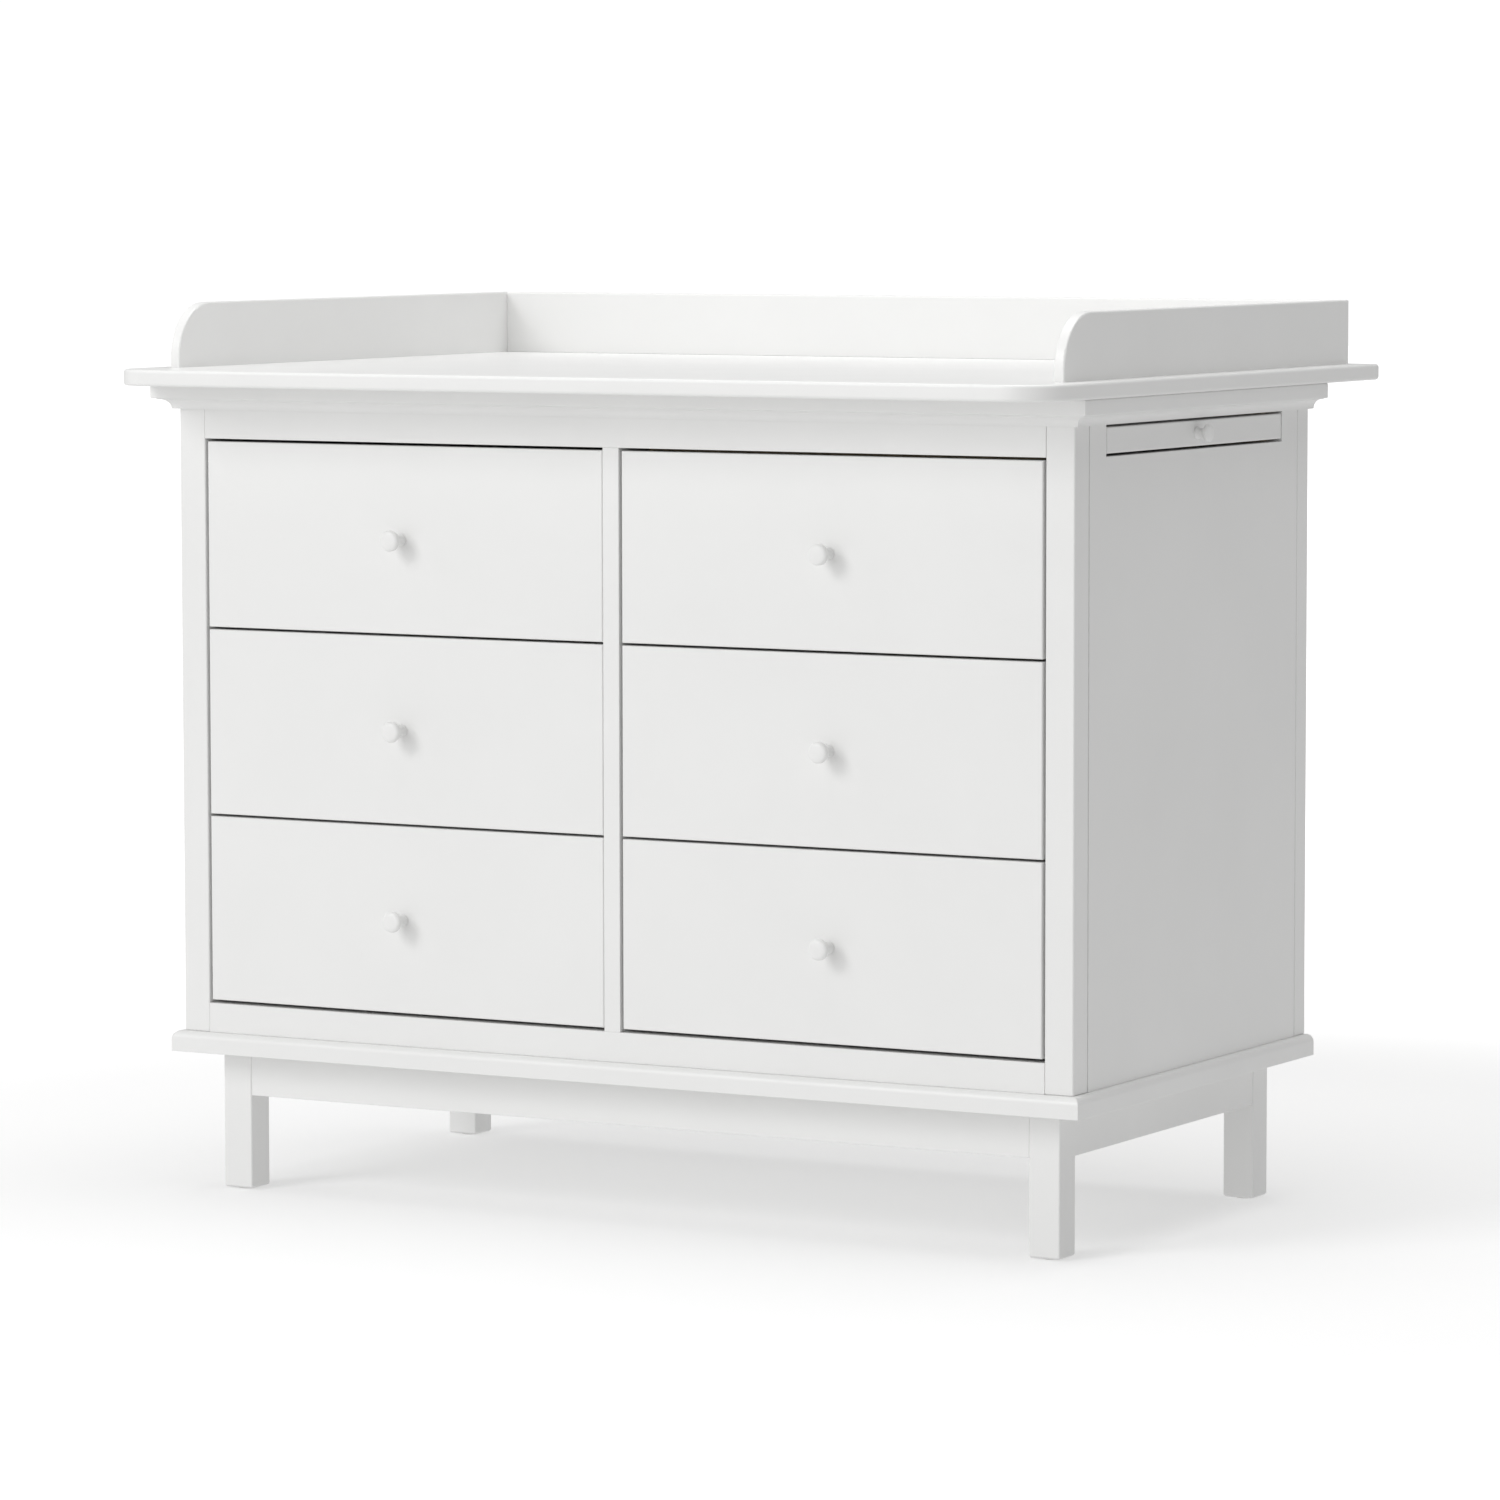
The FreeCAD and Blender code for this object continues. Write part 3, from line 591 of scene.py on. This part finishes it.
boxBoard = plywood["side"] * mm
bottomBoard = plywood["floor"] * mm
groove = plywood["groove"] * mm
for drawer in drawerNames:
    low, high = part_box(f"{drawer}_box")
    node = [f"{drawer}_box"]
    floorLow = low.z + plywood["grooveUp"] * mm
    floorHigh = floorLow + bottomBoard
    for hand, outer, inward in (("left", low.x, 1), ("right", high.x, -1)):
        inner = outer + inward * boxBoard
        bed = inner - inward * groove
        outline = [(outer, low.z), (inner, low.z), (inner, floorLow), (bed, floorLow), (bed, floorHigh),
                   (inner, floorHigh), (inner, high.z), (outer, high.z)]
        mesh = plyBoard(f"{drawer}Side", outline, 1, (low.y, high.y), 1, 0, (outer + inner) / 2)
        addPiece(f"{drawer}_box_side_{hand}", mesh, birch, drawer, node)
    inside = (low.x + boxBoard, high.x - boxBoard)
    mesh = plyBoard(f"{drawer}Back", rectangle((high.y - boxBoard, floorHigh), (high.y, high.z)), 0,
                    inside, 0, 1, high.y - boxBoard / 2)
    addPiece(f"{drawer}_box_back", mesh, birch, drawer, node)
    mesh = plyBoard(f"{drawer}Floor", rectangle((low.y, floorLow), (high.y, floorHigh)), 0,
                    (inside[0] - groove, inside[1] + groove), 0, 2, (floorLow + floorHigh) / 2)
    addPiece(f"{drawer}_box_floor", mesh, birch, drawer, node)
print("drawer boxes made")


# screws
panScrew = {"head": 4, "height": 2.2, "shank": 1.9, "root": 1.5, "pitch": 1.1, "tip": 3,
            "recess": 2.3, "recessWidth": 0.9, "recessDepth": 1.3, "recessTaper": 0.45}
runnerScrew = dict(panScrew, head=3.2, height=1.5, shank=1.5, root=1.2, recess=1.8, recessWidth=0.7,
                   recessDepth=0.9)
screwMeshes = {}


def crossCutter(screw):
    # a tapered cross that sinks the driver recess
    work = bmesh.new()
    rings = []
    above = screw["height"] + 0.5
    floorOfRecess = screw["height"] - screw["recessDepth"]
    for height, share in ((above, 1.0), (floorOfRecess, screw["recessTaper"])):
        arm = screw["recess"] * share * mm
        half = screw["recessWidth"] * (0.5 + share * 0.5) / 2 * mm
        ring = []
        for turn in range(4):
            spin = Matrix.Rotation(turn * math.pi / 2, 3, "Z")
            for x, y in ((half, half), (arm, half), (arm, -half)):
                corner = spin @ Vector((x, y, 0))
                ring.append(work.verts.new((corner.x, corner.y, height * mm)))
        order = sorted(ring, key=lambda v: round(math.atan2(v.co.y, v.co.x), 6))
        rings.append(order)
    closeTube(work, *rings)
    return meshFrom("crossCutter", work)


def screwMesh(screw, length):
    key = (screw["head"], length)
    if key not in screwMeshes:
        outline = [Vector((0, -length))]
        height = -length + screw["tip"]
        while height < -screw["pitch"] * 1.5:
            outline.append(Vector((screw["root"], height)))
            outline.append(Vector((screw["shank"], height + screw["pitch"] / 2)))
            height += screw["pitch"]
        dome = softened([(screw["root"], 0), (screw["head"], 0), (screw["head"], screw["height"] * 0.75),
                         (0, screw["height"])], [0, 0.3, screw["height"], 0], 6)
        head = turned("screwBlank", [(p.x, p.y) for p in outline + dome], 28)
        cutter = bpy.data.objects.new("cutter", crossCutter(screw))
        scene.collection.objects.link(cutter)
        cut = evaluated(head, [("BOOLEAN", {"object": cutter, "operation": "DIFFERENCE", "solver": "EXACT"})])
        bpy.data.objects.remove(cutter)
        smoothByAngle(cut, 35)
        screwMeshes[key] = cut
    return screwMeshes[key]


downwards = Matrix.Rotation(math.pi, 4, "X")


# steel angles and the screws that show outside
bracket = {"leg": 55, "width": 24, "sheet": 2, "bend": 4, "corner": 6, "hole": 38.5, "burr": 0.25}
fixing = {"boardScrew": 16, "guardScrew": 40, "knobScrew": 31, "backRows": 5, "backEdge": 10,
          "guardSpread": 0.75}


def bracketMesh(name):
    # a bent strip: one leg along +Y under the board, one down the post
    halfSheet = bracket["sheet"] / 2
    line = softened([(bracket["leg"], -halfSheet), (halfSheet, -halfSheet), (halfSheet, -bracket["leg"])],
                    [0, bracket["bend"], 0], 6)
    half = bracket["width"] / 2 * mm
    work = bmesh.new()
    columns = [[work.verts.new((x, p.x * mm, p.y * mm)) for x in (-half, half)] for p in line]
    for a, b in zip(columns, columns[1:]):
        work.faces.new([a[0], a[1], b[1], b[0]])
    bmesh.ops.bevel(work, geom=columns[0] + columns[-1], offset=bracket["corner"] * mm, segments=6,
                    profile=0.5, affect="VERTICES")   # round corners at both ends of the strip
    strip = meshFrom(name, work)
    plate = evaluated(strip, [
        ("SOLIDIFY", {"thickness": bracket["sheet"] * mm, "offset": 0.0}),
        ("BEVEL", {"width": bracket["burr"] * mm, "segments": 2, "limit_method": "ANGLE"})])
    smoothByAngle(plate, 35)
    return plate


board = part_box("changing_board")
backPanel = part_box("back_panel")
guardMiddles = {side: between(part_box(f"guard_{side}")).x for side in ("left", "right")}
bracketShape = bracketMesh("bracketShape")
for side in ("left", "right"):
    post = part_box(f"post_back_{side}")
    corner = Vector((between(post).x, post[1].y, board[0].z))
    mesh = placed(bracketShape, Matrix.Translation(corner), f"bracket{side}")
    addSteel(f"steel_angle_{side}", mesh, "chest", "steel_fixings")
    under = corner + Vector((0, bracket["hole"], -bracket["sheet"])) * mm
    level = corner + Vector((0, bracket["sheet"], -bracket["hole"])) * mm
    guardSpot = Vector((guardMiddles[side], post[1].y + bracket["leg"] * mm, board[0].z))
    short = screwMesh(panScrew, fixing["boardScrew"])
    long = screwMesh(panScrew, fixing["guardScrew"])
    mesh = joined(f"angleScrews{side}", [
        placed(short, Matrix.Translation(under) @ downwards, "under"),
        placed(short, Matrix.Translation(level) @ towardsBack, "level"),
        placed(long, Matrix.Translation(guardSpot) @ downwards, "guard")])
    addSteel(f"angle_screws_{side}", mesh, "chest", "steel_fixings")

guardBack = between(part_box("guard_back"))
guardScrews = []
for step in (-1, 0, 1):
    spot = Vector((step * guardMiddles["right"] * fixing["guardSpread"], guardBack.y, board[0].z))
    guardScrews.append(placed(long, Matrix.Translation(spot) @ downwards, "guardScrew"))
addSteel("back_guard_screws", joined("backGuardScrews", guardScrews), "chest", "steel_fixings")
panelScrews = []
backEdge = fixing["backEdge"] * mm
for i in range(fixing["backRows"]):
    share = i / (fixing["backRows"] - 1) * 2 - 1
    for z in (backPanel[0].z + backEdge, backPanel[1].z - backEdge):
        spot = Vector((share * (backPanel[1].x - backEdge), backPanel[1].y, z))
        panelScrews.append(placed(short, Matrix.Translation(spot) @ towardsBack, "panelScrew"))
addSteel("back_panel_screws", joined("backPanelScrews", panelScrews), "chest", "steel_fixings")
print("angles and screws made")


# drawer runners
runner = {"length": 450, "sheet": 1.2, "depth": 9, "bend": 2.2, "slotLength": 11, "slotWidth": 4.6,
          "slots": (32, 225, 418), "screw": 14, "cutReach": 3, "capSteps": 8}
fixedRunner = {"height": 36, "lip": 3.2}
movingRunner = {"height": 26, "lip": 0}


def slotCutter(slotAt):
    work = bmesh.new()
    half = (runner["slotLength"] - runner["slotWidth"]) / 2
    radius = runner["slotWidth"] / 2
    rim = []
    for end, first in ((1, -90), (-1, 90)):
        for step in range(runner["capSteps"] + 1):
            angle = math.radians(first + step * 180 / runner["capSteps"])
            rim.append((slotAt + end * half + math.cos(angle) * radius, math.sin(angle) * radius))
    rings = []
    for x in (-runner["cutReach"], runner["cutReach"]):
        rings.append([work.verts.new((x * mm, y * mm, z * mm)) for y, z in rim])
    closeTube(work, *rings)
    return meshFrom("slotCutter", work)


def runnerMesh(name, form):
    # a rolled strip: web on the wall, two flanges, lips turned in to keep the balls
    halfSheet = runner["sheet"] / 2
    top = form["height"] / 2 - halfSheet
    tip = runner["depth"] - halfSheet
    line = [(tip, -top), (halfSheet, -top), (halfSheet, top), (tip, top)]
    radii = [0, runner["bend"], runner["bend"], 0]
    if form["lip"]:
        line = [(tip, -top + form["lip"]), *line, (tip, top - form["lip"])]
        radii = [0, runner["bend"], *radii[1:3], runner["bend"], 0]
    work = bmesh.new()
    rows = []
    for y in (0, runner["length"]):
        rows.append([work.verts.new((p.x * mm, y * mm, p.y * mm)) for p in softened(line, radii, 4)])
    for i in range(len(rows[0]) - 1):
        work.faces.new([rows[0][i], rows[0][i + 1], rows[1][i + 1], rows[1][i]])
    cutter = bpy.data.objects.new("cutter", joined("slots", [slotCutter(y) for y in runner["slots"]]))
    scene.collection.objects.link(cutter)
    strip = evaluated(meshFrom(name, work), [
        ("SOLIDIFY", {"thickness": runner["sheet"] * mm, "offset": 0.0}),
        ("BOOLEAN", {"object": cutter, "operation": "DIFFERENCE", "solver": "EXACT"})])
    bpy.data.objects.remove(cutter)
    screws = []
    for y in runner["slots"]:
        stand = Matrix.Translation((runner["sheet"] * mm, y * mm, 0)) @ towardsRight
        screws.append(placed(screwMesh(runnerScrew, runner["screw"]), stand, "runnerScrew"))
    smoothByAngle(strip, 35)
    return joined(f"{name}Whole", [strip, *screws])


mirrorX = Matrix.Scale(-1, 4, (1, 0, 0))
fixedShape = runnerMesh("fixedRunner", fixedRunner)
movingShape = runnerMesh("movingRunner", movingRunner)
knobScrewShape = screwMesh(panScrew, fixing["knobScrew"])
fixedLow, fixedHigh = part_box("fixed_runners")
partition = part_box("centre_partition")
for drawer in drawerNames:
    low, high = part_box(f"{drawer}_fittings")
    boxLow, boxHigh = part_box(f"{drawer}_box")
    row, column = drawer.split("_")[1:]
    walls = (fixedLow.x, partition[0].x) if column == "left" else (partition[1].x, fixedHigh.x)
    middle = (low.z + high.z) / 2
    for hand, wall, side, flip in (("left", walls[0], boxLow.x, False), ("right", walls[1], boxHigh.x, True)):
        spin = mirrorX if flip else Matrix.Identity(4)
        stand = Matrix.Translation((wall, fixedLow.y, middle)) @ spin
        addSteel(f"fixed_runner_{row}_{column}_{hand}", placed(fixedShape, stand, "fixedRunnerMesh"),
                 "chest", "fixed_runners")
        stand = Matrix.Translation((side, fixedLow.y, middle)) @ mirrorX @ spin
        addSteel(f"{drawer}_runner_{hand}", placed(movingShape, stand, "movingRunnerMesh"),
                 drawer, f"{drawer}_fittings")
    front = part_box(f"{drawer}_front")
    frontMiddle = between(front)
    stand = Matrix.Translation((frontMiddle.x, front[1].y, frontMiddle.z)) @ towardsBack
    addSteel(f"{drawer}_knob_screw", placed(knobScrewShape, stand, "knobScrew"),
             drawer, f"{drawer}_fittings")
print("runners made")


# foot glides
glide = {"radius": 11, "foot": 10, "height": 1.5, "edge": 0.9}
glideOutline = softened([(0, 0), (glide["foot"], 0), (glide["radius"], glide["edge"]),
                         (glide["radius"], glide["height"]), (0, glide["height"])],
                        [0, 0.6, 0.5, 0.2, 0])
glideShape = turned("glideShape", [(p.x, p.y) for p in glideOutline], 48)
smoothByAngle(glideShape, 40)
for end in ("front", "back"):
    for side in ("left", "right"):
        middle = between(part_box(f"leg_{end}_{side}"))
        stand = Matrix.Translation((middle.x, middle.y, 0))
        addPiece(f"glide_{end}_{side}", placed(glideShape, stand, "glideMesh"), polyethylene, "chest",
                 ["foot_glides"])
print("glides made")


# floor and light: a pale floor that fades to white, large soft panels in front, above and at the left
studio = {
    "floorWidth": 60,
    "floorTone": 0.35,         # as the lamps see it
    "floorSeenTone": 0.66,     # as the eye sees it
    "floorGlow": 0.45,         # lit from below, like a table of milky acrylic
    "floorSeenGlow": 0.374,
    "fadeFrom": 1.1,
    "fadeTo": 2.6,             # metres from the chest to where the floor is plain white
    "skyLight": 0.391,
    "skySeen": 1.05,
}
lamps = {
    "keyPanel": {"place": (-3.0, -6.4, 4.4), "aim": (0, 0, 0.5), "size": (3, 3), "power": 169},
    "frontPanel": {"place": (-1.0, -6.5, 1.4), "aim": (0, 0, 0.5), "size": (5, 2.6), "power": 62},
    "topPanel": {"place": (0.3, 0.2, 4.2), "aim": (0, 0, 0.8), "size": (3.4, 3.4), "power": 88},
    "leftPanel": {"place": (-6, -1.5, 2.5), "aim": (0, 0, 0.5), "size": (4, 3), "power": 28},
}
view = {"place": (3.466, -6.1355, 1.095), "yaw": 29.44, "pitch": 5.05, "roll": -0.085, "lens": 159.9}

work = bmesh.new()
bmesh.ops.create_grid(work, x_segments=1, y_segments=1, size=studio["floorWidth"] / 2)
floor = bpy.data.objects.new("studio_floor", meshFrom("studioFloor", work))
scene.collection.objects.link(floor)
paper, paperTree, paperShader = newMaterial("paleStudioFloor")
seen = addNode(paperTree, "ShaderNodeLightPath").outputs["Is Camera Ray"]
spot = addNode(paperTree, "ShaderNodeTexCoord").outputs["Object"]
distance = addNode(paperTree, "ShaderNodeVectorMath", {"operation": "LENGTH"}, {0: spot})
fade = addNode(paperTree, "ShaderNodeMapRange",
               {"interpolation_type": "SMOOTHSTEP", "From Min": studio["fadeFrom"],
                "From Max": studio["fadeTo"], "To Min": studio["floorSeenGlow"], "To Max": 1.0},
               {"Value": distance.outputs["Value"]})
glow = addNode(paperTree, "ShaderNodeMix", {"data_type": "FLOAT", "A": studio["floorGlow"]},
               {"Factor": seen, "B": fade.outputs["Result"]})
tone = addNode(paperTree, "ShaderNodeMix",
               {"data_type": "RGBA", "A": [studio["floorTone"]] * 3 + [1],
                "B": [studio["floorSeenTone"]] * 3 + [1]}, {"Factor": seen})
paperShader.inputs["Roughness"].default_value = 0.9
paperShader.inputs["Specular IOR Level"].default_value = 0.0
paperShader.inputs["Emission Color"].default_value = [1, 1, 1, 1]
paperTree.links.new(tone.outputs["Result"], paperShader.inputs["Base Color"])
paperTree.links.new(glow.outputs["Result"], paperShader.inputs["Emission Strength"])
floor.data.materials.append(paper)

world = bpy.data.worlds.new("studioWorld")
scene.world = world
world.use_nodes = True
worldTree = world.node_tree
worldShader = worldTree.nodes["Background"]
worldShader.inputs["Color"].default_value = [1, 1, 1, 1]
seen = addNode(worldTree, "ShaderNodeLightPath").outputs["Is Camera Ray"]
strength = addNode(worldTree, "ShaderNodeMapRange",
                   {"To Min": studio["skyLight"], "To Max": studio["skySeen"]}, {"Value": seen})
worldTree.links.new(strength.outputs["Result"], worldShader.inputs["Strength"])

for name, lamp in lamps.items():
    light = bpy.data.lights.new(name, "AREA")
    light.shape = "RECTANGLE"
    light.size, light.size_y = lamp["size"]
    light.energy = lamp["power"]
    holder = bpy.data.objects.new(name, light)
    holder.location = lamp["place"]
    towards = Vector(lamp["aim"]) - Vector(lamp["place"])
    holder.rotation_euler = towards.to_track_quat("-Z", "Y").to_euler()
    scene.collection.objects.link(holder)
print("floor and lights set")

lens = bpy.data.cameras.new("studioCamera")
lens.lens = view["lens"]
lens.clip_start = 0.1
lens.clip_end = 200
camera = bpy.data.objects.new("studioCamera", lens)
yaw, pitch, roll = (math.radians(view[key]) for key in ("yaw", "pitch", "roll"))
forward = Vector((-math.sin(yaw) * math.cos(pitch), math.cos(yaw) * math.cos(pitch), -math.sin(pitch)))
levelRight = Vector((math.cos(yaw), math.sin(yaw), 0))
right = levelRight * math.cos(roll) + levelRight.cross(forward) * math.sin(roll)
up = right.cross(forward)
turnTo = Matrix((right, up, -forward)).transposed()
camera.matrix_world = Matrix.Translation(view["place"]) @ turnTo.to_4x4()
scene.collection.objects.link(camera)
scene.camera = camera
scene.view_settings.view_transform = "Standard"
print("camera set")
